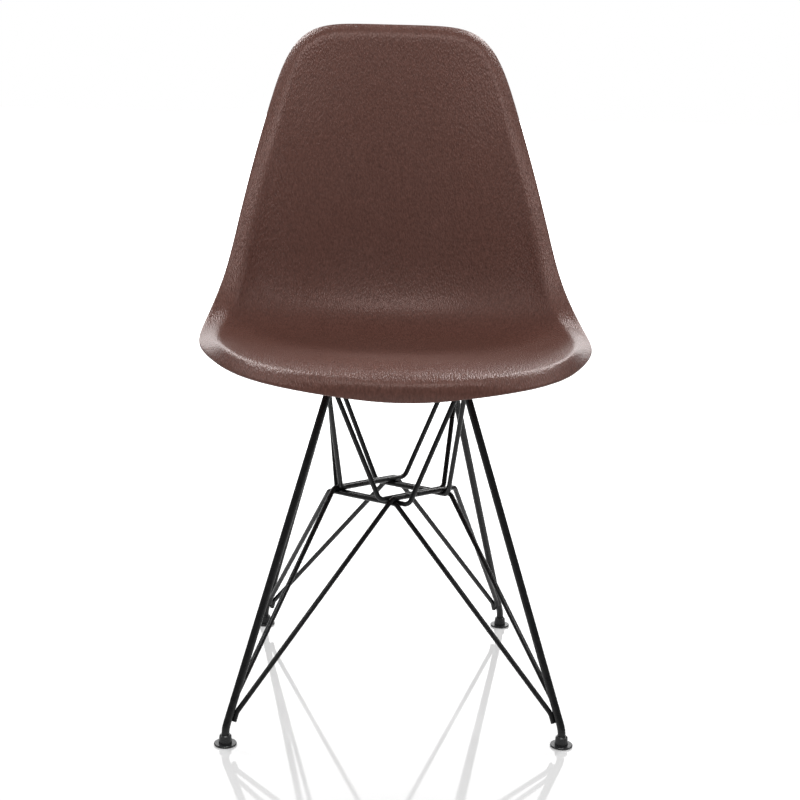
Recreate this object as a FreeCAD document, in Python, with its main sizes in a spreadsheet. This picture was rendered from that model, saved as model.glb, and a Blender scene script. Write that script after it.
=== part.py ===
import FreeCAD, Part
import math
import os
import Sketcher

# Moulded plastic shell chair on a wire base, in millimetres.
# X is to the sitter's left and right, -Y is the front of the seat, +Z is up, and the floor is z = 0.
# The origin is on the floor under the middle of the chair's outline.

Vector = FreeCAD.Vector
os.makedirs("parts", exist_ok=True)
doc = FreeCAD.newDocument("shell_chair")

# Driving sizes of the chair
SIZES = {
    # seat shell
    "shell_wall": 5.0,
    "front_lip_width": 26.0,
    "front_lip_drop": 9.0,
    "back_lip_width": 16.0,
    "back_lip_drop": 5.0,
    "dish_power": 2.4,
    "front_corner_power": 2.2,
    "top_corner_power": 5.3,
    "boss_foot_diameter": 22.0,
    "boss_root_diameter": 26.0,
    # where the shell is screwed to the base
    "mount_half_width": 70.0,
    "front_mount_y": -100.5,
    "rear_mount_y": 11.5,
    "mount_height": 398.0,
    # fixings
    "pad_thickness": 6.0,
    "pad_diameter": 26.0,
    "pad_waist_diameter": 21.0,
    "pad_bore": 7.0,
    "insert_diameter": 9.0,
    "insert_length": 9.0,
    "insert_groove": 0.6,
    "insert_depth_spare": 1.5,
    "screw_diameter": 6.0,
    "screw_length": 20.0,
    "screw_head_diameter": 10.5,
    "screw_head_height": 4.5,
    "screw_socket": 4.0,
    "screw_socket_depth": 2.8,
    "thread_clearance": 0.05,
    "washer_diameter": 13.0,
    "washer_thickness": 1.2,
    "washer_bore": 6.4,
    # mounting plates
    "plate_thickness": 3.0,
    "plate_width": 32.0,
    "plate_overhang": 9.0,
    "plate_corner": 6.0,
    "plate_hole": 6.6,
    # leg hoops
    "leg_diameter": 9.0,
    "leg_top_bend": 11.0,
    "leg_foot_bend": 30.0,
    "leg_foot_bend_height": 19.0,
    "front_foot_x": 191.0,
    "front_foot_y": -234.5,
    "front_top_x": 80.7,
    "front_top_y": -112.8,
    "rear_foot_x": 162.6,
    "rear_foot_y": 167.8,
    "rear_top_x": 72.4,
    "rear_top_y": 41.2,
    # wire braces
    "wire_diameter": 6.0,
    "wire_clearance": 0.02,
    "wire_bend": 9.0,
    "wire_foot_bend": 12.0,
    "crossing_height": 245.5,
    "crossing_centre_y": -31.0,
    "crossing_half_depth": 48.0,
    "crossing_half_width": 63.5,
    "upper_front_run_on": 20.0,
    "upper_rear_run_on": 20.0,
    "upper_side_run_on_over": 2.0,
    "upper_side_run_on_under": 8.0,
    "lower_front_run_on": 5.0,
    "lower_rear_run_on": 10.0,
    "lower_side_run_on_front": 8.0,
    "lower_side_run_on_rear": 15.0,
    "front_wire_end_x": 77.0,
    "front_wire_end_y": -80.0,
    "front_side_wire_end_x": 81.7,
    "front_side_wire_end_y": -90.8,
    "rear_wire_end_x": 74.7,
    "rear_wire_end_y": 27.7,
    "rear_side_wire_end_x": 82.5,
    "rear_side_wire_end_y": 35.1,
    "foot_weld_length": 11.0,
    "front_foot_wire_height": 38.0,
    "front_foot_side_wire_height": 52.0,
    "rear_foot_wire_height": 38.0,
    "rear_foot_side_wire_height": 46.0,
    # where a brace lies round its leg, in degrees from straight outward
    "front_foot_wire_turn": 153.0,
    "front_foot_side_wire_turn": 99.0,
    "rear_foot_wire_turn": 163.0,
    "rear_foot_side_wire_turn": 107.0,
    # glides
    "glide_diameter": 25.8,
    "glide_flange": 2.6,
    "glide_edge": 1.0,
    "glide_boot_height": 12.4,
    "glide_boot_top_diameter": 13.6,
    "glide_boot_foot_diameter": 15.4,
    "glide_top_chamfer": 1.2,
    "glide_floor": 3.0,
    "glide_clearance": 0.05,
}
sheet = doc.addObject("Spreadsheet::Sheet", "Sizes")
for row, (name, value) in enumerate(SIZES.items(), start=1):
    sheet.set(f"A{row}", name)
    sheet.set(f"B{row}", str(value))
    sheet.setAlias(f"B{row}", name)
doc.recompute()


def size(name):
    return float(sheet.get(name))


def bind(thing, **expressions):
    """Tie properties of an object to cells of the sheet."""
    for prop, expression in expressions.items():
        thing.setExpression(prop.replace("__", "."), expression)
    return thing


def finish_piece(thing, label):
    thing.Label = label
    pieces.append(thing)
    return thing


pieces = []


# Seat shell
# Three curves shape it: the middle line from the front edge to the top edge, the rim line
# seen from the side, and the half width. Each is a cubic B-spline through its poles' hull.
# The lines' poles are (y, height above the plane where the shell is screwed to its base).
MIDDLE_LINE = [(-270.5, 8), (-264.5, 28), (-224.5, 42), (-132.5, 33), (-12.5, 15), (99.5, 13),
               (159.5, 38), (183.5, 126), (205.5, 227), (234.5, 342), (255.5, 416.5)]
RIM_LINE = [(-270.5, 5.5), (-248.5, 9.5), (-197.5, 18), (-130.5, 36.5), (-60.5, 41), (22.5, 47),
            (79.5, 96), (117.5, 167), (167.5, 257), (213.5, 340), (249.5, 417)]
HALF_WIDTH = [207, 226, 240.5, 237.5, 239, 229.5, 207, 193.5, 179.5, 177, 187.5]
RING_COUNT = 48
RING_PARAMETERS = [float(i) for i in range(RING_COUNT + 1)]
LIP_START_SHARE = 0.85
LIP_RING_SHARES = [0.9, 0.94, 0.97, 1.0]
PANEL_ACROSS = 16
PANEL_ALONG = 30
Base2d = FreeCAD.Base.Vector2d


def spline_through_hull(points):
    curve = Part.BSplineCurve()
    curve.buildFromPoles(points, False, 3)
    return curve


middle_curve = spline_through_hull([Vector(0, y, size("mount_height") + up) for y, up in MIDDLE_LINE])
rim_curve = spline_through_hull([Vector(0, y, size("mount_height") + up) for y, up in RIM_LINE])
width_curve = spline_through_hull([Vector(w, 0, 0) for w in HALF_WIDTH])


def along(curve, share):
    share = min(max(share, 0.0), 1.0)
    return curve.value(curve.FirstParameter + share * (curve.LastParameter - curve.FirstParameter))


def dish_sheet(across, up):
    """Point of the plain dish: across runs from -1 to 1 over its width, up from its front to its top."""
    share = (1 + up) / 2
    rise = abs(across) ** size("dish_power")
    middle, rim = along(middle_curve, share), along(rim_curve, share)
    point = middle * (1 - rise) + rim * rise
    point.x = across * along(width_curve, share).x
    return point


def dish(radius, angle):
    """Point of the dish at a share of the way from its middle to its rounded outline."""
    across, up = math.cos(angle), math.sin(angle)
    power = size("front_corner_power") if up < 0 else size("top_corner_power")
    stretch = (abs(across) ** power + abs(up) ** power) ** (1 / power)
    return dish_sheet(radius * across / stretch, radius * up / stretch)


def unit(vector):
    return vector * (1.0 / vector.Length)


def sheet_point(across, up, depth):
    """Point this deep below the plain dish."""
    step = 0.002
    sideways = dish_sheet(across + step, up) - dish_sheet(across - step, up)
    upward = dish_sheet(across, up + step) - dish_sheet(across, up - step)
    return dish_sheet(across, up) - unit(sideways.cross(upward)) * depth


def rim_share(angle):
    """1 along the front and the seat's sides, 0 along the back."""
    lean = min(max(2.0 * math.sin(angle) + 0.6, -1.0), 1.0)
    return 0.5 * (1 - lean)


def rolled(radius, angle):
    """Point of the seating face, with its rim rolled outward."""
    step = 0.001
    point = dish(radius, angle)
    outward = dish(min(radius + step, 1.0), angle) - dish(min(radius + step, 1.0) - 2 * step, angle)
    round_ring = dish(radius, angle + 0.0001) - dish(radius, angle - 0.0001)
    normal = unit(outward.cross(round_ring))
    along_rim = unit(dish(1.0, angle + 0.06) - dish(1.0, angle - 0.06))
    gap = dish(1.0, angle) - point
    gap = gap - along_rim * gap.dot(along_rim)
    front = rim_share(angle)
    width = size("back_lip_width") * (1 - front) + size("front_lip_width") * front
    drop = size("back_lip_drop") * (1 - front) + size("front_lip_drop") * front
    near = min(max(1 - gap.Length / width, 0.0), 1.0)
    return point - normal * (drop * near ** 2.2)


def rolled_normal(radius, angle):
    step = 0.004
    inner, outer = max(radius - step, 0.001), min(radius + step, 1.0)
    outward = rolled(outer, angle) - rolled(inner, angle)
    round_ring = rolled(radius, angle + 0.01) - rolled(radius, angle - 0.01)
    return unit(outward.cross(round_ring))


def ring_points(radius, depth):
    """Points round the shell at a share of the way to its rim, this deep below the seating face."""
    angles = [2 * math.pi * (i + 0.5) / RING_COUNT for i in range(RING_COUNT)]
    return [rolled(radius, a) - rolled_normal(radius, a) * depth for a in angles]


def ring_edge(points):
    curve = Part.BSplineCurve()
    curve.interpolate(Points=points, PeriodicFlag=True, Parameters=RING_PARAMETERS)
    return curve.toShape()


def middle_panel(depth):
    """The broad middle of one face, as a smooth sheet trimmed along the ring where the lip starts."""
    reach = LIP_START_SHARE + 0.03
    rows = []
    for i in range(PANEL_ACROSS + 1):
        across = reach * (2 * i / PANEL_ACROSS - 1)
        row = []
        for j in range(PANEL_ALONG + 1):
            row.append(sheet_point(across, reach * (2 * j / PANEL_ALONG - 1), depth))
        rows.append(row)
    surface = Part.BSplineSurface()
    surface.interpolate(rows)
    flat_points = [Base2d(*surface.parameter(p)) for p in ring_points(LIP_START_SHARE, depth)]
    outline = Part.Geom2d.BSplineCurve2d()
    outline.interpolate(Points=flat_points, PeriodicFlag=True, Parameters=RING_PARAMETERS)
    edge = outline.toShape(surface)
    face = Part.Face(surface, Part.Wire(edge))
    return face, face.Edges[0]


def shell_solid():
    """Two smooth middle panels, with the rolled lip and the rounded rim as bands between them."""
    wall = size("shell_wall")
    top_panel, top_edge = middle_panel(0)
    low_panel, low_edge = middle_panel(wall)
    rim_mid = []
    for point, under in zip(ring_points(1.0, 0), ring_points(1.0, wall)):
        rim_mid.append((point + under) * 0.5)
    swell = []
    for i, point in enumerate(rim_mid):
        along_rim = unit(rim_mid[(i + 1) % RING_COUNT] - rim_mid[i - 1])
        through = rolled_normal(1.0, 2 * math.pi * (i + 0.5) / RING_COUNT)
        swell.append(point + along_rim.cross(through) * (wall / 2))
    rings = [top_edge]
    rings += [ring_edge(ring_points(radius, 0)) for radius in LIP_RING_SHARES]
    rings += [ring_edge(swell)]
    rings += [ring_edge(ring_points(radius, wall)) for radius in reversed(LIP_RING_SHARES)]
    rings += [low_edge]
    faces = [top_panel, low_panel]
    for first, second in zip(rings, rings[1:]):
        faces.append(Part.makeRuledSurface(first, second))
    shell = Part.makeShell(faces)
    shell.sewShape(0.05)
    solid = Part.makeSolid(shell)
    if solid.Volume < 0:
        solid.reverse()
    return solid


shell_blank = doc.addObject("Part::Feature", "shell_blank")
shell_blank.Shape = shell_solid()


def height_under(x, y):
    """Height of the shell's lower face above a place on the floor."""
    line = Part.makeLine(Vector(x, y, size("mount_height") - 5), Vector(x, y, size("mount_height") + 60))
    return min(v.Z for v in line.common(shell_blank.Shape).Vertexes)


MOUNTS = {
    "front_left": (-1, "front_mount_y"),
    "front_right": (1, "front_mount_y"),
    "rear_left": (-1, "rear_mount_y"),
    "rear_right": (1, "rear_mount_y"),
}


def at_mount(thing, side, y_name, z_expression):
    sign = "-" if side < 0 else ""
    return bind(thing, Placement__Base__x=f"{sign}Sizes.mount_half_width",
                Placement__Base__y=f"Sizes.{y_name}", Placement__Base__z=z_expression)


bosses = []
sockets = []
for place, (side, y_name) in MOUNTS.items():
    boss = doc.addObject("Part::Cone", f"boss_{place}")
    bind(boss, Radius1="Sizes.boss_foot_diameter / 2", Radius2="Sizes.boss_root_diameter / 2")
    under_face = height_under(side * size("mount_half_width"), size(y_name))
    boss.Height = under_face + size("shell_wall") / 2 - size("mount_height")
    at_mount(boss, side, y_name, "Sizes.mount_height")
    bosses.append(boss)
    socket = doc.addObject("Part::Cylinder", f"socket_{place}")
    bind(socket, Radius="Sizes.insert_diameter / 2", Height="Sizes.insert_length + Sizes.insert_depth_spare")
    at_mount(socket, side, y_name, "Sizes.mount_height")
    sockets.append(socket)
with_bosses = doc.addObject("Part::MultiFuse", "shell_with_bosses")
with_bosses.Shapes = [shell_blank] + bosses
all_sockets = doc.addObject("Part::MultiFuse", "insert_sockets")
all_sockets.Shapes = sockets
seat_shell = doc.addObject("Part::Cut", "seat_shell_body")
seat_shell.Base = with_bosses
seat_shell.Tool = all_sockets
finish_piece(seat_shell, "seat_shell")


# Fixings at each of the four mounts, from the shell down to the screw's head
def tube(name, outer, bore, height):
    """A ring with a bore, as a cut of two cylinders bound to the sheet."""
    body = bind(doc.addObject("Part::Cylinder", name + "_outside"), Radius=f"{outer} / 2", Height=height)
    hole = bind(doc.addObject("Part::Cylinder", name + "_bore"), Radius=f"{bore} / 2", Height=height)
    result = doc.addObject("Part::Cut", name + "_ring")
    result.Base = body
    result.Tool = hole
    return result


def threaded_insert(place, side, y_name):
    name = f"threaded_insert_{place}"
    blank = tube(name, "Sizes.insert_diameter", "(Sizes.screw_diameter + 2 * Sizes.thread_clearance)",
                 "Sizes.insert_length")
    outside = bind(doc.addObject("Part::Cylinder", name + "_groove_outside"),
                   Radius="Sizes.insert_diameter / 2 + 1", Height="Sizes.insert_length / 5")
    inside = bind(doc.addObject("Part::Cylinder", name + "_groove_inside"),
                  Radius="Sizes.insert_diameter / 2 - Sizes.insert_groove", Height="Sizes.insert_length / 5")
    groove = doc.addObject("Part::Cut", name + "_groove")
    groove.Base = outside
    groove.Tool = inside
    bind(groove, Placement__Base__z="Sizes.insert_length * 2 / 5")
    insert = doc.addObject("Part::Cut", name + "_body")
    insert.Base = blank
    insert.Tool = groove
    at_mount(insert, side, y_name, "Sizes.mount_height")
    finish_piece(insert, name)


def turned(name, points):
    """A piece turned about Z from the corners of its half section, in a sketch of its own body."""
    body = doc.addObject("PartDesign::Body", name + "_body")
    plane = next(f for f in body.Origin.OriginFeatures if f.Role == "XZ_Plane")
    axis = next(f for f in body.Origin.OriginFeatures if f.Role == "Z_Axis")
    sketch = body.newObject("Sketcher::SketchObject", name + "_section")
    sketch.AttachmentSupport = [(plane, "")]
    sketch.MapMode = "FlatFace"
    count = len(points)
    corner = []
    for radius, height in points:
        corner.append((float(doc_value(radius)), float(doc_value(height))))
    for i in range(count):
        (x1, y1), (x2, y2) = corner[i], corner[(i + 1) % count]
        sketch.addGeometry(Part.LineSegment(Vector(x1, y1, 0), Vector(x2, y2, 0)), False)
    for i in range(count):
        sketch.addConstraint(Sketcher.Constraint("Coincident", i, 2, (i + 1) % count, 1))
    for i, (radius, height) in enumerate(points):
        index = sketch.addConstraint(Sketcher.Constraint("DistanceX", -1, 1, i, 1, corner[i][0]))
        sketch.setExpression(f"Constraints[{index}]", radius)
        index = sketch.addConstraint(Sketcher.Constraint("DistanceY", -1, 1, i, 1, corner[i][1]))
        sketch.setExpression(f"Constraints[{index}]", height)
    revolution = body.newObject("PartDesign::Revolution", name + "_turned")
    revolution.Profile = sketch
    revolution.ReferenceAxis = (axis, [""])
    revolution.Angle = 360
    body.Tip = revolution
    return body


def doc_value(expression):
    """Value of a sheet expression, used for a sketch's first drawing."""
    return sheet.evalExpression(expression)


def shock_pad(place, side, y_name):
    name = f"shock_pad_{place}"
    pad = turned(name, [
        ("Sizes.pad_bore / 2", "Sizes.pad_thickness * 0"),
        ("Sizes.pad_diameter / 2", "Sizes.pad_thickness * 0"),
        ("Sizes.pad_diameter / 2", "Sizes.pad_thickness * 0.25"),
        ("Sizes.pad_waist_diameter / 2", "Sizes.pad_thickness * 0.45"),
        ("Sizes.pad_waist_diameter / 2", "Sizes.pad_thickness * 0.55"),
        ("Sizes.pad_diameter / 2", "Sizes.pad_thickness * 0.75"),
        ("Sizes.pad_diameter / 2", "Sizes.pad_thickness"),
        ("Sizes.pad_bore / 2", "Sizes.pad_thickness"),
    ])
    at_mount(pad, side, y_name, "Sizes.mount_height - Sizes.pad_thickness")
    finish_piece(pad, name)


PLATE_TOP = "Sizes.mount_height - Sizes.pad_thickness"
PLATE_UNDER = "Sizes.mount_height - Sizes.pad_thickness - Sizes.plate_thickness"


def washer(place, side, y_name):
    name = f"washer_{place}"
    ring_shape = tube(name, "Sizes.washer_diameter", "Sizes.washer_bore", "Sizes.washer_thickness")
    at_mount(ring_shape, side, y_name, f"{PLATE_UNDER} - Sizes.washer_thickness")
    finish_piece(ring_shape, name)


def mounting_screw(place, side, y_name):
    name = f"mounting_screw_{place}"
    head = bind(doc.addObject("Part::Cylinder", name + "_head"),
                Radius="Sizes.screw_head_diameter / 2", Height="Sizes.screw_head_height")
    socket = bind(doc.addObject("Part::Prism", name + "_socket"),
                  Circumradius="Sizes.screw_socket / 2 / cos(30)", Height="Sizes.screw_socket_depth")
    socket.Polygon = 6
    hollow_head = doc.addObject("Part::Cut", name + "_hollow_head")
    hollow_head.Base = head
    hollow_head.Tool = socket
    shank = bind(doc.addObject("Part::Cylinder", name + "_shank"),
                 Radius="Sizes.screw_diameter / 2", Height="Sizes.screw_length",
                 Placement__Base__z="Sizes.screw_head_height")
    screw = doc.addObject("Part::Fuse", name + "_whole")
    screw.Base = hollow_head
    screw.Tool = shank
    at_mount(screw, side, y_name, f"{PLATE_UNDER} - Sizes.washer_thickness - Sizes.screw_head_height")
    finish_piece(screw, name)


for place, (side, y_name) in MOUNTS.items():
    threaded_insert(place, side, y_name)
    shock_pad(place, side, y_name)
    washer(place, side, y_name)
    mounting_screw(place, side, y_name)


# Mounting plates: a flat bar on each side, welded across both hoops
def mounting_plate(side_name, sign):
    name = f"{side_name}_mounting_plate"
    body = doc.addObject("PartDesign::Body", name + "_body")
    plane = next(f for f in body.Origin.OriginFeatures if f.Role == "XY_Plane")
    sketch = body.newObject("Sketcher::SketchObject", name + "_outline")
    sketch.AttachmentSupport = [(plane, "")]
    sketch.MapMode = "FlatFace"
    half = size("plate_width") / 2
    front = size("front_top_y") - size("plate_overhang")
    rear = size("rear_top_y") + size("plate_overhang")
    corners = [Vector(-half, front, 0), Vector(half, front, 0), Vector(half, rear, 0), Vector(-half, rear, 0)]
    for i in range(4):
        sketch.addGeometry(Part.LineSegment(corners[i], corners[(i + 1) % 4]), False)
    for i in range(4):
        sketch.addConstraint(Sketcher.Constraint("Coincident", i, 2, (i + 1) % 4, 1))
    for edge_index in (0, 2):
        sketch.addConstraint(Sketcher.Constraint("Horizontal", edge_index))
    for edge_index in (1, 3):
        sketch.addConstraint(Sketcher.Constraint("Vertical", edge_index))
    limits = [
        ("DistanceX", 0, 1, -half, "-Sizes.plate_width / 2"),
        ("DistanceX", 0, 2, half, "Sizes.plate_width / 2"),
        ("DistanceY", 0, 1, front, "Sizes.front_top_y - Sizes.plate_overhang"),
        ("DistanceY", 2, 1, rear, "Sizes.rear_top_y + Sizes.plate_overhang"),
    ]
    for kind, geometry, point, value, expression in limits:
        index = sketch.addConstraint(Sketcher.Constraint(kind, -1, 1, geometry, point, value))
        sketch.setExpression(f"Constraints[{index}]", expression)
    holes = []
    for y_name in ("front_mount_y", "rear_mount_y"):
        circle = sketch.addGeometry(Part.Circle(Vector(0, size(y_name), 0), Vector(0, 0, 1),
                                                size("plate_hole") / 2), False)
        sketch.addConstraint(Sketcher.Constraint("PointOnObject", circle, 3, -2))
        index = sketch.addConstraint(Sketcher.Constraint("DistanceY", -1, 1, circle, 3, size(y_name)))
        sketch.setExpression(f"Constraints[{index}]", f"Sizes.{y_name}")
        index = sketch.addConstraint(Sketcher.Constraint("Diameter", circle, size("plate_hole")))
        sketch.setExpression(f"Constraints[{index}]", "Sizes.plate_hole")
        holes.append(circle)
    pad = body.newObject("PartDesign::Pad", name + "_pad")
    pad.Profile = sketch
    bind(pad, Length="Sizes.plate_thickness")
    doc.recompute()
    upright = []
    for number, edge in enumerate(pad.Shape.Edges, start=1):
        ends = [v.Point for v in edge.Vertexes]
        if len(ends) == 2 and (ends[0] - ends[1]).cross(Vector(0, 0, 1)).Length < 1e-6:
            if abs(abs(ends[0].x) - half) < 1e-6:
                upright.append(f"Edge{number}")
    corner_round = body.newObject("PartDesign::Fillet", name + "_corners")
    corner_round.Base = (pad, upright)
    bind(corner_round, Radius="Sizes.plate_corner")
    body.Tip = corner_round
    minus = "-" if sign < 0 else ""
    bind(body, Placement__Base__x=f"{minus}Sizes.mount_half_width", Placement__Base__z=PLATE_UNDER)
    finish_piece(body, name)


mounting_plate("left", -1)
mounting_plate("right", 1)


# Rods and wires
def rounded_path(points, radii):
    """Straight runs between the points, with each inner corner rounded to its own radius."""
    edges = []
    last = points[0]
    for before, corner, after, radius in zip(points, points[1:], points[2:], radii):
        back, ahead = unit(before - corner), unit(after - corner)
        half_angle = back.getAngle(ahead) / 2
        reach = radius / math.tan(half_angle)
        start, end = corner + back * reach, corner + ahead * reach
        bisector = unit(back + ahead)
        deep = corner + bisector * (radius / math.sin(half_angle) - radius)
        edges.append(Part.makeLine(last, start))
        edges.append(Part.Arc(start, deep, end).toShape())
        last = end
    edges.append(Part.makeLine(last, points[-1]))
    return Part.Wire(edges)


def rod(name, diameter_name, points, radii):
    """A round rod swept along a path with rounded corners."""
    path = doc.addObject("Part::Feature", name + "_path")
    path.Shape = rounded_path(points, radii)
    section = doc.addObject("Part::Circle", name + "_section")
    bind(section, Radius=f"Sizes.{diameter_name} / 2")
    section.Placement = FreeCAD.Placement(points[0], FreeCAD.Rotation(Vector(0, 0, 1), points[1] - points[0]))
    sweep = doc.addObject("Part::Sweep", name + "_sweep")
    sweep.Sections = [section]
    sweep.Spine = (path, [f"Edge{i + 1}" for i in range(len(path.Shape.Edges))])
    sweep.Solid = True
    sweep.Frenet = False
    return sweep


plate_under_height = size("mount_height") - size("pad_thickness") - size("plate_thickness")
hoop_height = plate_under_height - size("leg_diameter") / 2


def hoop_places(end):
    """The leg's top corner, its bend above the glide and its lower end, on the right side."""
    top = Vector(size(f"{end}_top_x"), size(f"{end}_top_y"), hoop_height)
    bend = Vector(size(f"{end}_foot_x"), size(f"{end}_foot_y"), size("leg_foot_bend_height"))
    return top, bend, Vector(bend.x, bend.y, size("glide_floor") + size("glide_clearance"))


def on_line(low, high, height):
    return low + (high - low) * ((height - low.z) / (high.z - low.z))


def mirror(point):
    return Vector(-point.x, point.y, point.z)


for end in ("front", "rear"):
    top, bend, foot = hoop_places(end)
    radii = [size("leg_foot_bend"), size("leg_top_bend"), size("leg_top_bend"), size("leg_foot_bend")]
    hoop = rod(f"{end}_leg_hoop", "leg_diameter",
               [mirror(foot), mirror(bend), mirror(top), top, bend, foot], radii)
    finish_piece(hoop, f"{end}_leg_hoop")


# The eight braces cross under the seat in a square set on its corner. Two of its edges lie one
# wire above the other two. On each edge an upper brace lies inside a lower brace.
half_step = (size("wire_diameter") + size("wire_clearance")) / 2
square = {
    "front": Vector(0, size("crossing_centre_y") - size("crossing_half_depth"), 0),
    "rear": Vector(0, size("crossing_centre_y") + size("crossing_half_depth"), 0),
    "left": Vector(-size("crossing_half_width"), size("crossing_centre_y"), 0),
    "right": Vector(size("crossing_half_width"), size("crossing_centre_y"), 0),
}
square_centre = Vector(0, size("crossing_centre_y"), 0)


def edge_line(start, end, over, inside):
    """The two corners of one edge, moved in or out by half a wire and set to its level."""
    first, second = square[start], square[end]
    ahead = unit(second - first)
    inward = Vector(-ahead.y, ahead.x, 0)
    if inward.dot(square_centre - first) < 0:
        inward = inward * -1
    shift = inward * (half_step if inside else -half_step)
    level = Vector(0, 0, size("crossing_height") + (half_step if over else -half_step))
    return first + shift + level, second + shift + level, ahead


def plate_end(end, near_middle, side):
    """Where an upper brace meets a mounting plate from below."""
    stem = f"{end}_wire_end" if near_middle else f"{end}_side_wire_end"
    return Vector(side * size(stem + "_x"), size(stem + "_y"), plate_under_height)


EDGES = {
    # edge name: corner at the front or rear, corner at the side, side sign, lies over the others
    "front_right": ("front", "right", 1, True),
    "front_left": ("front", "left", -1, False),
    "rear_right": ("rear", "right", 1, False),
    "rear_left": ("rear", "left", -1, True),
}
block = doc.addObject("Part::Box", "above_plates")
bind(block, Length="Sizes.front_foot_x * 2", Width="Sizes.front_foot_x * 2", Height="Sizes.front_foot_x / 5",
     Placement__Base__x="-Sizes.front_foot_x", Placement__Base__y="-Sizes.front_foot_x",
     Placement__Base__z=PLATE_UNDER)


def upper_brace(name, end, side_corner, side, over):
    # It comes from the plate on the other side, runs along its edge and rises to the plate
    # beyond the side corner.
    middle, outer, ahead = edge_line(end, side_corner, over, True)
    run_on = size("upper_front_run_on") if end == "front" else size("upper_rear_run_on")
    first_bend = middle - ahead * run_on
    side_run = size("upper_side_run_on_over") if over else size("upper_side_run_on_under")
    second_bend = outer + ahead * side_run
    start = plate_end(end, True, -side)
    other_end = "rear" if end == "front" else "front"
    finish = plate_end(other_end, False, side)
    start_beyond = start + unit(start - first_bend) * size("wire_diameter")
    finish_beyond = finish + unit(finish - second_bend) * size("wire_diameter")
    long_rod = rod(name, "wire_diameter", [start_beyond, first_bend, second_bend, finish_beyond],
                   [size("wire_bend"), size("wire_bend")])
    brace = doc.addObject("Part::Cut", name + "_trimmed")
    brace.Base = long_rod
    brace.Tool = block
    finish_piece(brace, name)


def beside_leg(end, side, to_middle, height):
    """A place on a leg's inner side where a brace of this end lies against it."""
    top, bend, foot = hoop_places(end)
    toward_middle_y = 1 if end == "front" else -1
    turn = math.radians(size(f"{end}_foot_wire_turn" if to_middle else f"{end}_foot_side_wire_turn"))
    lean = Vector(math.cos(turn), math.sin(turn) * toward_middle_y, 0)
    leg_line = unit(top - bend)
    lean = unit(lean - leg_line * lean.dot(leg_line))
    apart = (size("leg_diameter") + size("wire_diameter")) / 2 + size("wire_clearance")
    place = on_line(bend, top, height) + lean * apart
    return Vector(side * place.x, place.y, place.z), Vector(side * leg_line.x, leg_line.y, leg_line.z)


def lower_brace(name, end, side_corner, side, over):
    # It comes from the foot on the other side, over its front or rear corner, along its edge
    # and down to the foot beyond the side corner.
    middle, outer, ahead = edge_line(end, side_corner, over, False)
    first_bend = middle - ahead * size(f"lower_{end}_run_on")
    other_end = "rear" if end == "front" else "front"
    second_bend = outer + ahead * size(f"lower_side_run_on_{other_end}")
    weld = size("foot_weld_length")
    start_bend, start_line = beside_leg(end, -side, True, size(f"{end}_foot_wire_height"))
    finish_bend, finish_line = beside_leg(other_end, side, False, size(f"{other_end}_foot_side_wire_height"))
    points = [start_bend - start_line * weld, start_bend, first_bend, second_bend,
              finish_bend, finish_bend - finish_line * weld]
    foot_radius, radius = size("wire_foot_bend"), size("wire_bend")
    brace = rod(name, "wire_diameter", points, [foot_radius, radius, radius, foot_radius])
    finish_piece(brace, name)


for edge_name, (end, side_corner, side, over) in EDGES.items():
    upper_brace(f"upper_brace_{edge_name}", end, side_corner, side, over)
    lower_brace(f"lower_brace_{edge_name}", end, side_corner, side, over)


# Glides: one-piece moulded feet, pushed on the legs' upright ends
def glide(end, side_name, sign):
    name = f"glide_{end}_{side_name}"
    bore = "(Sizes.leg_diameter / 2 + Sizes.glide_clearance)"
    body = turned(name, [
        ("Sizes.glide_diameter * 0", "Sizes.glide_floor * 0"),
        ("Sizes.glide_diameter / 2 - Sizes.glide_edge", "Sizes.glide_floor * 0"),
        ("Sizes.glide_diameter / 2", "Sizes.glide_edge"),
        ("Sizes.glide_diameter / 2", "Sizes.glide_flange - Sizes.glide_edge / 2"),
        ("Sizes.glide_diameter / 2 - Sizes.glide_edge / 2", "Sizes.glide_flange"),
        ("Sizes.glide_boot_foot_diameter / 2", "Sizes.glide_flange"),
        ("Sizes.glide_boot_top_diameter / 2", "Sizes.glide_boot_height - Sizes.glide_top_chamfer"),
        ("Sizes.glide_boot_top_diameter / 2 - Sizes.glide_top_chamfer", "Sizes.glide_boot_height"),
        (bore, "Sizes.glide_boot_height"),
        (bore, "Sizes.glide_floor"),
        ("Sizes.glide_diameter * 0", "Sizes.glide_floor"),
    ])
    top, bend, foot = hoop_places(end)
    body.Placement = FreeCAD.Placement(Vector(sign * foot.x, foot.y, 0), FreeCAD.Rotation())
    finish_piece(body, name)


for end in ("front", "rear"):
    glide(end, "left", -1)
    glide(end, "right", 1)

doc.recompute()
for thing in doc.Objects:
    if "Invalid" in thing.State or "Error" in thing.State:
        raise RuntimeError(f"{thing.Name} did not build: {thing.State}")
for piece in pieces:
    shape = piece.Shape
    if shape.isNull() or not shape.isValid() or shape.Volume <= 0:
        raise RuntimeError(f"{piece.Label} has no sound solid")
    shape.exportStep(f"parts/{piece.Label}.step")
print(len(pieces), "pieces")
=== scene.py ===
import math

import bmesh
import bpy
from mathutils import Matrix, Vector


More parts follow.
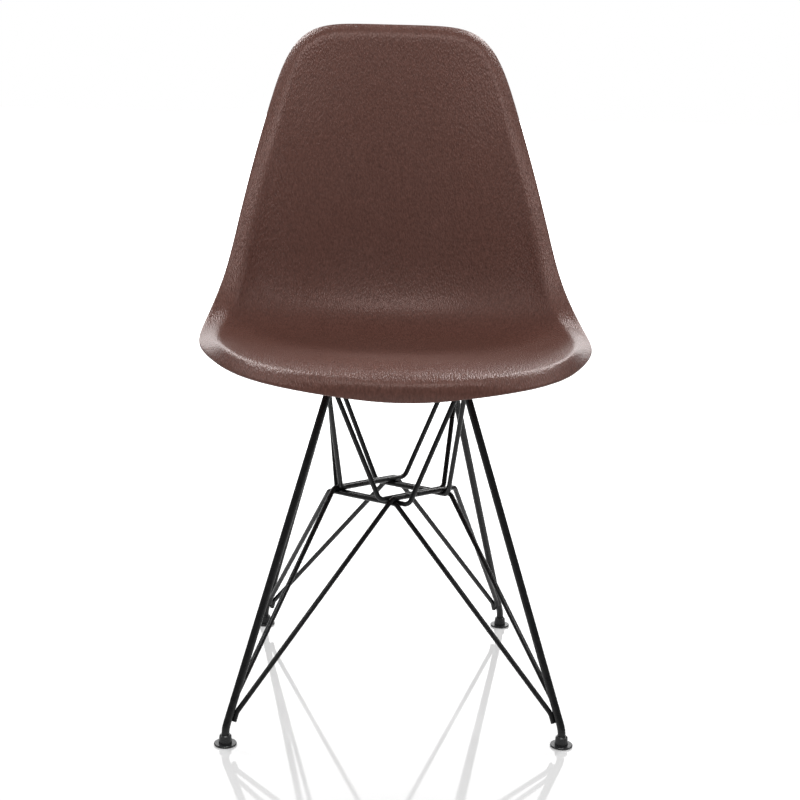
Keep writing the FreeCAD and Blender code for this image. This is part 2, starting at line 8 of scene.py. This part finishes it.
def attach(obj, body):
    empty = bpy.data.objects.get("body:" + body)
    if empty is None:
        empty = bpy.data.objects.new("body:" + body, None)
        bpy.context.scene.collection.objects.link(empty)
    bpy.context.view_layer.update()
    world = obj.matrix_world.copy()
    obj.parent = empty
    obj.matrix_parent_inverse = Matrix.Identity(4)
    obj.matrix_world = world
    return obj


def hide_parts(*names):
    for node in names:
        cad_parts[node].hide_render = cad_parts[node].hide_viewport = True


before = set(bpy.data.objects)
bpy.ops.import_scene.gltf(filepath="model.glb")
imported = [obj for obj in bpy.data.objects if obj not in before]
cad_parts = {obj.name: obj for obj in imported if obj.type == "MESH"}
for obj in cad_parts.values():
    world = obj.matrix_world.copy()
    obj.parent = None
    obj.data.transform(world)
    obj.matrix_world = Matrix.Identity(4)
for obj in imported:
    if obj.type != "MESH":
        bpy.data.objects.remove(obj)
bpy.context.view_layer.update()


# Camera
# It stands a little left of the chair's middle and nearly as high as the top of its back. It
# looks slightly down on the seat, as in the photograph, through a long lens.
CAMERA_PLACE = Vector((-0.0816, -1.9012, 0.7414))
CAMERA_YAW = 0.0472
CAMERA_PITCH = -0.2015
CAMERA_ROLL = 0.0245
CAMERA_LENS = 70.59
CAMERA_SENSOR_WIDTH = 36
CAMERA_REACH = 100

forward = Vector((
    math.sin(CAMERA_YAW) * math.cos(CAMERA_PITCH),
    math.cos(CAMERA_YAW) * math.cos(CAMERA_PITCH),
    math.sin(CAMERA_PITCH),
))
level_right = Vector((math.cos(CAMERA_YAW), -math.sin(CAMERA_YAW), 0))
level_up = level_right.cross(forward)
picture_right = level_right * math.cos(CAMERA_ROLL) + level_up * math.sin(CAMERA_ROLL)
picture_up = level_up * math.cos(CAMERA_ROLL) - level_right * math.sin(CAMERA_ROLL)
camera_data = bpy.data.cameras.new("chair_camera")
camera_data.lens = CAMERA_LENS
camera_data.sensor_width = CAMERA_SENSOR_WIDTH
camera_data.clip_end = CAMERA_REACH
camera = bpy.data.objects.new("chair_camera", camera_data)
camera.matrix_world = Matrix.Translation(CAMERA_PLACE) @ Matrix((
    picture_right, picture_up, -forward,
)).transposed().to_4x4()
bpy.context.collection.objects.link(camera)
bpy.context.scene.camera = camera


# Leg hoops
# Each pair of legs is one steel rod, bent into a hoop with a level bar under the seat and upright
# ends for the glides. The whole wire base is welded up and powder coated satin black.
PAINT_COLOUR = (0.005, 0.005, 0.0055, 1)
PAINT_WORN_COLOUR = (0.010, 0.0098, 0.0095, 1)
SPECKLE_INPUTS = {"Grain Scale": 1000.0, "Patch Scale": 30.0, "Patch Share": 0.5}
PATCH_SPAN = (0.3, 0.7)


def add_node(tree, kind, **settings):
    """A node with some of its settings and plain input values."""
    node = tree.nodes.new(kind)
    for label, value in settings.items():
        if hasattr(node, label):
            setattr(node, label, value)
        else:
            node.inputs[label.replace("_", " ")].default_value = value
    return node


def surface_speckle():
    """A node group of fine even relief and broad soft patches, as a coat or a moulding has."""
    group = bpy.data.node_groups.new("surface_speckle", "ShaderNodeTree")
    for label, default in SPECKLE_INPUTS.items():
        socket = group.interface.new_socket(label, in_out="INPUT", socket_type="NodeSocketFloat")
        socket.default_value = default
    for label in ("Height", "Patches"):
        group.interface.new_socket(label, in_out="OUTPUT", socket_type="NodeSocketFloat")
    entry = group.nodes.new("NodeGroupInput")
    leave = group.nodes.new("NodeGroupOutput")
    place = group.nodes.new("ShaderNodeTexCoord")
    grain = add_node(group, "ShaderNodeTexNoise", Detail=3.0, Roughness=0.6)
    patches = add_node(group, "ShaderNodeTexNoise", Detail=2.0, Roughness=0.5)
    for noise, scale in ((grain, "Grain Scale"), (patches, "Patch Scale")):
        group.links.new(place.outputs["Object"], noise.inputs["Vector"])
        group.links.new(entry.outputs[scale], noise.inputs["Scale"])
    blend = add_node(group, "ShaderNodeMix", data_type="FLOAT")
    group.links.new(entry.outputs["Patch Share"], blend.inputs["Factor"])
    group.links.new(grain.outputs["Fac"], blend.inputs["A"])
    group.links.new(patches.outputs["Fac"], blend.inputs["B"])
    group.links.new(blend.outputs["Result"], leave.inputs["Height"])
    group.links.new(patches.outputs["Fac"], leave.inputs["Patches"])
    return group


speckle = surface_speckle()


def new_finish(name, **values):
    """A material with its Principled shader's plain values set."""
    material = bpy.data.materials.new(name)
    material.use_nodes = True
    shader = material.node_tree.nodes["Principled BSDF"]
    for label, value in values.items():
        shader.inputs[label.replace("_", " ")].default_value = value
    return material, material.node_tree, shader


def use_speckle(tree, grain_scale, patch_scale, patch_share):
    """The shared speckle in a material, with the material's own fineness of grain and patches."""
    node = tree.nodes.new("ShaderNodeGroup")
    node.node_tree = speckle
    node.inputs["Grain Scale"].default_value = grain_scale
    node.inputs["Patch Scale"].default_value = patch_scale
    node.inputs["Patch Share"].default_value = patch_share
    return node


def map_range(tree, value, span, result=(0.0, 1.0), interpolation_type="LINEAR"):
    """A value that runs through the result as the given value runs through its span."""
    node = add_node(tree, "ShaderNodeMapRange", interpolation_type=interpolation_type)
    for label, number in zip(("From Min", "From Max", "To Min", "To Max"), span + result):
        node.inputs[label].default_value = number
    tree.links.new(value, node.inputs["Value"])
    return node.outputs["Result"]


def vary_colour(tree, shader, mask, colours, span):
    """The base colour goes from the first to the second as the mask runs through its span."""
    mixed = add_node(tree, "ShaderNodeMix", data_type="RGBA")
    mixed.inputs["A"].default_value = colours[0]
    mixed.inputs["B"].default_value = colours[1]
    tree.links.new(map_range(tree, mask, span), mixed.inputs["Factor"])
    tree.links.new(mixed.outputs["Result"], shader.inputs["Base Color"])


def vary_roughness(tree, shader, mask, roughness):
    tree.links.new(map_range(tree, mask, PATCH_SPAN, roughness), shader.inputs["Roughness"])


def add_bump(tree, shader, height, strength, distance):
    bump = add_node(tree, "ShaderNodeBump", Strength=strength, Distance=distance)
    tree.links.new(height, bump.inputs["Height"])
    tree.links.new(bump.outputs["Normal"], shader.inputs["Normal"])


def speckled_finish(name, colours, colour_span, texture, roughness, bump, **values):
    """A material whose colour, gloss and relief all change with the shared speckle."""
    material, tree, shader = new_finish(name, **values)
    skin = use_speckle(tree, **texture)
    vary_colour(tree, shader, skin.outputs["Patches"], colours, colour_span)
    vary_roughness(tree, shader, skin.outputs["Patches"], roughness)
    add_bump(tree, shader, skin.outputs["Height"], **bump)
    return material


def dress_node(name, material):
    """Gives a CAD node its finish."""
    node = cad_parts[name]
    for slot in node.material_slots:
        slot.material = material


powder_coat = speckled_finish(
    "black_powder_coat",
    colours=(PAINT_COLOUR, PAINT_WORN_COLOUR),
    colour_span=(0.45, 0.8),
    texture=dict(grain_scale=900.0, patch_scale=140.0, patch_share=0.45),
    roughness=(0.24, 0.36),
    bump=dict(strength=0.12, distance=0.0002),
    IOR=1.5,
)
for hoop in ("front_leg_hoop", "rear_leg_hoop"):
    dress_node(hoop, powder_coat)


# Wire braces
# Eight thinner wires cross under the seat in a square set on its corner. The upper four hang
# from the mounting plates and the lower four run to the feet, welded wherever they touch.
BRACE_PLACES = ("front_right", "front_left", "rear_right", "rear_left")

for place in BRACE_PLACES:
    dress_node(f"upper_brace_{place}", powder_coat)
    dress_node(f"lower_brace_{place}", powder_coat)


# Mounting plates
# A flat steel bar on each side is welded across both hoops and painted with them. It carries
# the two screws of its side.
for side in ("left", "right"):
    dress_node(f"{side}_mounting_plate", powder_coat)


# Glides
# One-piece moulded nylon feet, pushed on the upright ends of the legs. Their soles are scuffed
# a little paler by the floor.
GLIDE_COLOUR = (0.016, 0.016, 0.017, 1)
GLIDE_SCUFF_COLOUR = (0.075, 0.072, 0.07, 1)
GLIDE_SOLE_HEIGHT = 0.0016
MOUNT_PLACES = ("front_left", "front_right", "rear_left", "rear_right")


def calculate(tree, operation, *values):
    """The result of a Math node that takes other nodes' values."""
    node = add_node(tree, "ShaderNodeMath", operation=operation)
    for value, socket in zip(values, node.inputs):
        tree.links.new(value, socket)
    return node.outputs["Value"]


def glide_nylon():
    material, tree, shader = new_finish("glide_nylon", IOR=1.52)
    skin = use_speckle(tree, grain_scale=1400.0, patch_scale=260.0, patch_share=0.5)
    place = tree.nodes.new("ShaderNodeTexCoord")
    parts = tree.nodes.new("ShaderNodeSeparateXYZ")
    tree.links.new(place.outputs["Object"], parts.inputs["Vector"])
    wear = map_range(tree, parts.outputs["Z"], (GLIDE_SOLE_HEIGHT, 0.0))
    scuffs = calculate(tree, "MULTIPLY", wear, skin.outputs["Patches"])
    vary_colour(tree, shader, scuffs, (GLIDE_COLOUR, GLIDE_SCUFF_COLOUR), span=(0.1, 0.6))
    vary_roughness(tree, shader, skin.outputs["Patches"], roughness=(0.22, 0.34))
    add_bump(tree, shader, skin.outputs["Height"], strength=0.1, distance=0.0002)
    return material


nylon = glide_nylon()
for place in MOUNT_PLACES:
    dress_node(f"glide_{place}", nylon)


# Shock pads
# A waisted rubber ring between each boss of the shell and its mounting plate lets the shell
# give a little. The rubber is dull black with a pale bloom.
RUBBER_COLOUR = (0.012, 0.012, 0.012, 1)
RUBBER_BLOOM_COLOUR = (0.045, 0.044, 0.043, 1)

rubber = speckled_finish(
    "pad_rubber",
    colours=(RUBBER_COLOUR, RUBBER_BLOOM_COLOUR),
    colour_span=(0.4, 0.7),
    texture=dict(grain_scale=1600.0, patch_scale=180.0, patch_share=0.4),
    roughness=(0.6, 0.8),
    bump=dict(strength=0.2, distance=0.0002),
    IOR=1.48,
)
for place in MOUNT_PLACES:
    dress_node(f"shock_pad_{place}", rubber)


# Threaded inserts
# Grooved brass bushes, pressed into the bosses while the shell is warm. The screws turn in them.
BRASS_COLOUR = (0.60, 0.42, 0.16, 1)
BRASS_DULL_COLOUR = (0.36, 0.24, 0.10, 1)

brass = speckled_finish(
    "turned_brass",
    colours=(BRASS_COLOUR, BRASS_DULL_COLOUR),
    colour_span=(0.35, 0.65),
    texture=dict(grain_scale=2200.0, patch_scale=400.0, patch_share=0.3),
    roughness=(0.28, 0.45),
    bump=dict(strength=0.1, distance=0.0001),
    Metallic=1.0,
)
for place in MOUNT_PLACES:
    dress_node(f"threaded_insert_{place}", brass)


# Washers and socket screws
# Zinc plated steel hardware under each mounting plate: a plain washer and a socket screw that
# goes up through plate and pad into the insert.
ZINC_COLOUR = (0.56, 0.57, 0.60, 1)
ZINC_DULL_COLOUR = (0.38, 0.38, 0.36, 1)

zinc = speckled_finish(
    "zinc_plate",
    colours=(ZINC_COLOUR, ZINC_DULL_COLOUR),
    colour_span=(0.35, 0.65),
    texture=dict(grain_scale=1800.0, patch_scale=320.0, patch_share=0.5),
    roughness=(0.26, 0.42),
    bump=dict(strength=0.12, distance=0.0001),
    Metallic=1.0,
)
for place in MOUNT_PLACES:
    dress_node(f"washer_{place}", zinc)
    dress_node(f"mounting_screw_{place}", zinc)


# Seat shell
# One injection moulding in dark brown polypropylene with a fine leather grain: a shallow seat
# that sweeps up into the back, with its rim rolled outward all round and four bosses below.
SHELL_WALL = 0.005
# Poles (y, z) of the middle line and of the rim line, and half widths, from the front to the top
CURVE_DEGREE = 3
MIDDLE_LINE = [(-0.2705, 0.406), (-0.2645, 0.426), (-0.2245, 0.440), (-0.1325, 0.431), (-0.0125, 0.413),
               (0.0995, 0.411), (0.1595, 0.436), (0.1835, 0.524), (0.2055, 0.625), (0.2345, 0.740),
               (0.2555, 0.8145)]
RIM_LINE = [(-0.2705, 0.4035), (-0.2485, 0.4075), (-0.1975, 0.416), (-0.1305, 0.4345), (-0.0605, 0.439),
            (0.0225, 0.445), (0.0795, 0.494), (0.1175, 0.565), (0.1675, 0.655), (0.2135, 0.738),
            (0.2495, 0.815)]
HALF_WIDTH = [0.207, 0.226, 0.2405, 0.2375, 0.239, 0.2295, 0.207, 0.1935, 0.1795, 0.177, 0.1875]
DISH_POWER = 2.4
FRONT_CORNER_POWER = 2.2
TOP_CORNER_POWER = 5.3
# How the rim rolls outward along the back, in front, at the wings and at the front corners
LEAN_SLOPE = 2.0
LEAN_SHIFT = 0.6
BACK_LIP_WIDTH = 0.0185
FRONT_LIP_WIDTH = 0.022
BACK_LIP_DROP = 0.005
FRONT_LIP_DROP = 0.009
BACK_CREST = 0.0065
FRONT_CREST = 0.001
CREST_POWER = 6
BACK_LIP_ROUNDNESS = 0.8
FRONT_LIP_ROUNDNESS = 0.55
TURNED_LIP_ROUNDNESS = 0.3
# Places are the sine of the angle round the dish, from -1 in front to 1 at the top
WING_PLACE = -0.05
WING_SPREAD = 0.33
WING_LIP_EXTRA = 0.004
WING_CREST_EXTRA = 0.0075
CORNER_PLACE = -0.54
CORNER_SPREAD = 0.17
CORNER_LIP_LESS = 0.009
CORNER_CREST_EXTRA = 0.0065
# Small steps that give directions on the dish, and how finely it is made
RADIUS_STEP = 0.001
ANGLE_STEP = 0.0001
RIM_ANGLE_STEP = 0.06
RIM_SWELL = 0.0019
SWELL_ANGLE_STEP = 0.01
SWELL_INNER_RADIUS = 0.985
SHELL_GRID = (116, 150)
GRID_CROWDING = 0.45
CENTRE_RADIUS = 0.002
RIM_REACH = 0.9999
SHARP_ANGLE = 1.0
RIM_ROUNDING = 0.0021
BOSS_RADII = (0.011, 0.013)
BOSS_PLACES = ((-0.070, -0.1005), (0.070, -0.1005), (-0.070, 0.0115), (0.070, 0.0115))
BOSS_FOOT_HEIGHT = 0.398
BOSS_FOOT_ROUNDING = 0.0008
BOSS_CLEARANCE = 0.004
LEVEL_TOLERANCE = 1e-5
SHELL_COLOUR = (0.074, 0.030, 0.022, 1)
SHELL_PALE_COLOUR = (0.150, 0.065, 0.050, 1)
SHELL_SHEEN = (1.0, 0.76, 0.71, 1)
GRAIN_STRETCH = (1.0, 0.4, 0.4)


def hull_point(poles, share):
    """Point at a share of the way along a cubic curve drawn through the hull of its poles."""
    spans = len(poles) - CURVE_DEGREE
    inner_knots = [float(i) for i in range(1, spans)]
    knots = [0.0] * (CURVE_DEGREE + 1) + inner_knots + [float(spans)] * (CURVE_DEGREE + 1)
    place = min(max(share, 0.0), 1.0) * spans
    first = min(int(place), spans - 1) + CURVE_DEGREE
    near = list(poles[first - CURVE_DEGREE:first + 1])
    for level in range(1, CURVE_DEGREE + 1):
        for i in range(CURVE_DEGREE, level - 1, -1):
            low, high = knots[first - CURVE_DEGREE + i], knots[first + 1 + i - level]
            part = (place - low) / (high - low)
            near[i] = near[i - 1].lerp(near[i], part)
    return near[CURVE_DEGREE]


middle_poles = [Vector((0, y, z)) for y, z in MIDDLE_LINE]
rim_poles = [Vector((0, y, z)) for y, z in RIM_LINE]
width_poles = [Vector((half, 0, 0)) for half in HALF_WIDTH]


def dish(radius, angle):
    """Point of the plain dish at a share of the way from its middle to its rounded outline."""
    across, up = math.cos(angle), math.sin(angle)
    power = FRONT_CORNER_POWER if up < 0 else TOP_CORNER_POWER
    stretch = (abs(across) ** power + abs(up) ** power) ** (1 / power)
    across, up = radius * across / stretch, radius * up / stretch
    share = (1 + up) / 2
    rise = abs(across) ** DISH_POWER
    point = hull_point(middle_poles, share).lerp(hull_point(rim_poles, share), rise)
    point.x = across * hull_point(width_poles, share).x
    return point


def front_share(angle):
    """1 along the front and the seat's sides, 0 along the back."""
    lean = min(max(LEAN_SLOPE * math.sin(angle) + LEAN_SHIFT, -1.0), 1.0)
    return 0.5 * (1 - lean)


def nearness(angle, place, spread):
    """1 at one place up the rim on both sides, falling off softly in front and behind."""
    return math.exp(-((math.sin(angle) - place) / spread) ** 2)


def rolled_dish(radius, angle):
    """Point of the seating face, with its rim rolled outward, more in front than on the back."""
    point = dish(radius, angle)
    outer = min(radius + RADIUS_STEP, 1.0)
    outward = dish(outer, angle) - dish(outer - 2 * RADIUS_STEP, angle)
    round_ring = dish(radius, angle + ANGLE_STEP) - dish(radius, angle - ANGLE_STEP)
    normal = outward.cross(round_ring).normalized()
    along_rim = (dish(1.0, angle + RIM_ANGLE_STEP) - dish(1.0, angle - RIM_ANGLE_STEP)).normalized()
    gap = dish(1.0, angle) - point
    gap -= along_rim * gap.dot(along_rim)
    front = front_share(angle)
    wing = nearness(angle, WING_PLACE, WING_SPREAD)
    corner = nearness(angle, CORNER_PLACE, CORNER_SPREAD)
    width = BACK_LIP_WIDTH * (1 - front) + FRONT_LIP_WIDTH * front
    width += WING_LIP_EXTRA * wing - CORNER_LIP_LESS * corner
    drop = BACK_LIP_DROP * (1 - front) + FRONT_LIP_DROP * front
    crest = BACK_CREST * (1 - front) + FRONT_CREST * front
    crest += WING_CREST_EXTRA * wing + CORNER_CREST_EXTRA * corner
    soft = BACK_LIP_ROUNDNESS * (1 - front) + FRONT_LIP_ROUNDNESS * front
    soft += (TURNED_LIP_ROUNDNESS - soft) * max(wing, corner)
    near = min(max(1 - gap.length / width, 0.0), 1.0)
    fall = (math.hypot(near, soft) - soft) / (math.hypot(1, soft) - soft)
    return point + normal * (crest * radius ** CREST_POWER - (drop + crest) * fall)


def swollen_rim(angle):
    """Point of the very rim, moved outward along the lip so that the edge can be rounded."""
    point = rolled_dish(1.0, angle)
    ahead = rolled_dish(1.0, angle + SWELL_ANGLE_STEP)
    back = rolled_dish(1.0, angle - SWELL_ANGLE_STEP)
    along_rim = (ahead - back).normalized()
    outward = point - rolled_dish(SWELL_INNER_RADIUS, angle)
    outward -= along_rim * outward.dot(along_rim)
    return point + outward.normalized() * RIM_SWELL


def mould_shell():
    """A fine square sheet, drawn into the dish, given its wall and a rounded rim."""
    bm = bmesh.new()
    bmesh.ops.create_grid(bm, x_segments=SHELL_GRID[0], y_segments=SHELL_GRID[1], size=1.0)
    for vert in bm.verts:
        reach = max(abs(vert.co.x), abs(vert.co.y))
        radius = max(reach * (1 + GRID_CROWDING - GRID_CROWDING * reach), CENTRE_RADIUS)
        angle = math.atan2(vert.co.y, vert.co.x)
        vert.co = swollen_rim(angle) if reach > RIM_REACH else rolled_dish(radius, angle)
    bm.normal_update()
    seat_face = min(bm.faces, key=lambda face: face.calc_center_median().xy.length)
    if seat_face.normal.z < 0:
        bmesh.ops.reverse_faces(bm, faces=bm.faces)
    bmesh.ops.solidify(bm, geom=bm.faces[:], thickness=SHELL_WALL)
    bm.normal_update()
    sharp = [edge for edge in bm.edges if edge.is_manifold and edge.calc_face_angle() > SHARP_ANGLE]
    bmesh.ops.bevel(bm, geom=sharp, offset=RIM_ROUNDING, affect="EDGES", segments=3, profile=0.5,
                    material=-1, clamp_overlap=True)
    return bm


def smooth_object(name, bm):
    """An object in the scene with the finished, smoothly shaded mesh."""
    mesh = bpy.data.meshes.new(name)
    bm.to_mesh(mesh)
    bm.free()
    mesh.shade_smooth()
    thing = bpy.data.objects.new(name, mesh)
    bpy.context.collection.objects.link(thing)
    return thing


def grained_polypropylene():
    material, tree, shader = new_finish("grained_polypropylene", IOR=1.49, Specular_Tint=SHELL_SHEEN)
    place = tree.nodes.new("ShaderNodeTexCoord")
    stretch = add_node(tree, "ShaderNodeMapping", Scale=GRAIN_STRETCH)
    streaks = add_node(tree, "ShaderNodeTexNoise", Scale=480.0, Detail=4.0, Roughness=0.65)
    cells = add_node(tree, "ShaderNodeTexVoronoi", Scale=600.0)
    tree.links.new(place.outputs["Object"], stretch.inputs["Vector"])
    tree.links.new(stretch.outputs["Vector"], streaks.inputs["Vector"])
    tree.links.new(stretch.outputs["Vector"], cells.inputs["Vector"])
    relief = calculate(tree, "ADD", streaks.outputs["Fac"], cells.outputs["Distance"])
    skin = use_speckle(tree, grain_scale=700.0, patch_scale=14.0, patch_share=0.5)
    shades = (SHELL_COLOUR, SHELL_PALE_COLOUR)
    vary_colour(tree, shader, streaks.outputs["Fac"], shades, span=(0.3, 0.75))
    vary_roughness(tree, shader, skin.outputs["Patches"], roughness=(0.33, 0.40))
    add_bump(tree, shader, relief, strength=0.7, distance=0.0006)
    return material


shell_plastic = grained_polypropylene()
moulded_shell = smooth_object("moulded_shell", mould_shell())
moulded_shell.data.materials.append(shell_plastic)
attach(moulded_shell, "root")


def shell_boss(number, place):
    """A tapered boss that stands under the shell, with its head inside the wall."""
    x, y = place
    above = (v.co for v in moulded_shell.data.vertices
             if v.normal.z > 0 and (v.co.xy - Vector(place)).length < BOSS_RADII[1] + BOSS_CLEARANCE)
    root_height = min(co.z for co in above) - SHELL_WALL / 2
    bm = bmesh.new()
    height = root_height - BOSS_FOOT_HEIGHT
    bmesh.ops.create_cone(bm, cap_ends=True, segments=48, radius1=BOSS_RADII[0], radius2=BOSS_RADII[1],
                          depth=height, matrix=Matrix.Translation((x, y, BOSS_FOOT_HEIGHT + height / 2)))
    foot_ring = [edge for edge in bm.edges
                 if all(abs(v.co.z - BOSS_FOOT_HEIGHT) < LEVEL_TOLERANCE for v in edge.verts)]
    bmesh.ops.bevel(bm, geom=foot_ring, offset=BOSS_FOOT_ROUNDING, affect="EDGES", segments=2,
                    profile=0.5, material=-1)
    boss = smooth_object(f"shell_boss_{number}", bm)
    boss.data.materials.append(shell_plastic)
    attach(boss, "root")


for number, place in enumerate(BOSS_PLACES, start=1):
    shell_boss(number, place)
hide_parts("seat_shell")


# Studio
# A polished white floor in white surroundings. Glossy surfaces see a bright backdrop behind the
# chair and a dark room elsewhere. Two lamps are at the sides, two high behind, one above in front.
WHITE = (1, 1, 1, 1)
FLOOR_SIZE = 30.0
FLOOR_COLOUR = (0.72, 0.72, 0.72, 1)
FLOOR_GLOW = (0.10, 1.0)
FLOOR_GLOW_REACH = (1.0, 3.5)
AMBIENT_STRENGTH = 0.62
SEEN_STRENGTH = 1.0
MIRRORED_BACKDROP_STRENGTH = 2.8
MIRRORED_ROOM_STRENGTH = 0.15
BACKDROP_DEPTH = (-0.2, 0.4)
BACKDROP_SIDES = (0.6, 0.35)
BACKDROP_TOP = (0.55, 0.32)
# Each lamp's name, place, the point it faces, its width and height, and its watts
LAMPS = (
    ("lamp_left", (-2.2, 0.2, 2.0), (0, 0, 0.6), (0.3, 1.2), 7),
    ("lamp_right", (2.2, 0.2, 2.0), (0, 0, 0.6), (0.3, 1.2), 7),
    ("lamp_left_behind", (-1.0, 1.45, 2.05), (-0.2, 0, 0.5), (0.6, 0.8), 20),
    ("lamp_right_behind", (1.0, 1.45, 2.05), (0.2, 0, 0.5), (0.6, 0.8), 20),
    ("lamp_above", (0, -1.05, 2.45), (0, 0, 0.55), (1.4, 0.5), 20),
)


def polished_floor():
    """A floor that only the camera sees glow, more and more away from the chair."""
    material, tree, shader = new_finish(
        "studio_floor", Base_Color=FLOOR_COLOUR, Roughness=0.05, IOR=1.9, Emission_Color=WHITE)
    place = tree.nodes.new("ShaderNodeTexCoord")
    distance = add_node(tree, "ShaderNodeVectorMath", operation="LENGTH")
    tree.links.new(place.outputs["Object"], distance.inputs[0])
    fade = map_range(tree, distance.outputs["Value"], FLOOR_GLOW_REACH, FLOOR_GLOW, "SMOOTHSTEP")
    rays = tree.nodes.new("ShaderNodeLightPath")
    glow = calculate(tree, "MULTIPLY", rays.outputs["Is Camera Ray"], fade)
    tree.links.new(glow, shader.inputs["Emission Strength"])
    return material


floor_bm = bmesh.new()
bmesh.ops.create_grid(floor_bm, x_segments=1, y_segments=1, size=FLOOR_SIZE)
floor_mesh = bpy.data.meshes.new("studio_floor")
floor_bm.to_mesh(floor_mesh)
floor_bm.free()
floor = bpy.data.objects.new("studio_floor", floor_mesh)
bpy.context.collection.objects.link(floor)
floor.data.materials.append(polished_floor())


def mirrored_strength(tree):
    """How bright glossy surfaces see the surroundings in each direction."""
    place = tree.nodes.new("ShaderNodeTexCoord")
    parts = tree.nodes.new("ShaderNodeSeparateXYZ")
    tree.links.new(place.outputs["Generated"], parts.inputs["Vector"])
    behind = map_range(tree, parts.outputs["Y"], BACKDROP_DEPTH, interpolation_type="SMOOTHSTEP")
    aside = calculate(tree, "ABSOLUTE", parts.outputs["X"])
    between = map_range(tree, aside, BACKDROP_SIDES, interpolation_type="SMOOTHSTEP")
    below_top = map_range(tree, parts.outputs["Z"], BACKDROP_TOP, interpolation_type="SMOOTHSTEP")
    backdrop = calculate(tree, "MULTIPLY", calculate(tree, "MULTIPLY", behind, between), below_top)
    return map_range(tree, backdrop, (0.0, 1.0), (MIRRORED_ROOM_STRENGTH, MIRRORED_BACKDROP_STRENGTH))


world = bpy.data.worlds.new("studio")
bpy.context.scene.world = world
world.use_nodes = True
sky = world.node_tree
surroundings = sky.nodes["Background"]
surroundings.inputs["Color"].default_value = WHITE
rays = sky.nodes.new("ShaderNodeLightPath")
mirrored = calculate(sky, "MAXIMUM", rays.outputs["Is Glossy Ray"], rays.outputs["Is Transmission Ray"])
unseen = add_node(sky, "ShaderNodeMix", data_type="FLOAT")
unseen.inputs["A"].default_value = AMBIENT_STRENGTH
sky.links.new(mirrored, unseen.inputs["Factor"])
sky.links.new(mirrored_strength(sky), unseen.inputs["B"])
strength = add_node(sky, "ShaderNodeMix", data_type="FLOAT")
strength.inputs["B"].default_value = SEEN_STRENGTH
sky.links.new(rays.outputs["Is Camera Ray"], strength.inputs["Factor"])
sky.links.new(unseen.outputs["Result"], strength.inputs["A"])
sky.links.new(strength.outputs["Result"], surroundings.inputs["Strength"])


def soft_lamp(name, place, aim, size, power):
    """A large rectangular lamp that faces a point."""
    data = bpy.data.lights.new(name, "AREA")
    data.shape = "RECTANGLE"
    data.size, data.size_y = size
    data.energy = power
    lamp = bpy.data.objects.new(name, data)
    lamp.location = place
    direction = Vector(aim) - Vector(place)
    lamp.rotation_euler = direction.to_track_quat("-Z", "Y").to_euler()
    bpy.context.collection.objects.link(lamp)


for lamp_settings in LAMPS:
    soft_lamp(*lamp_settings)

bpy.context.scene.view_settings.view_transform = "Standard"
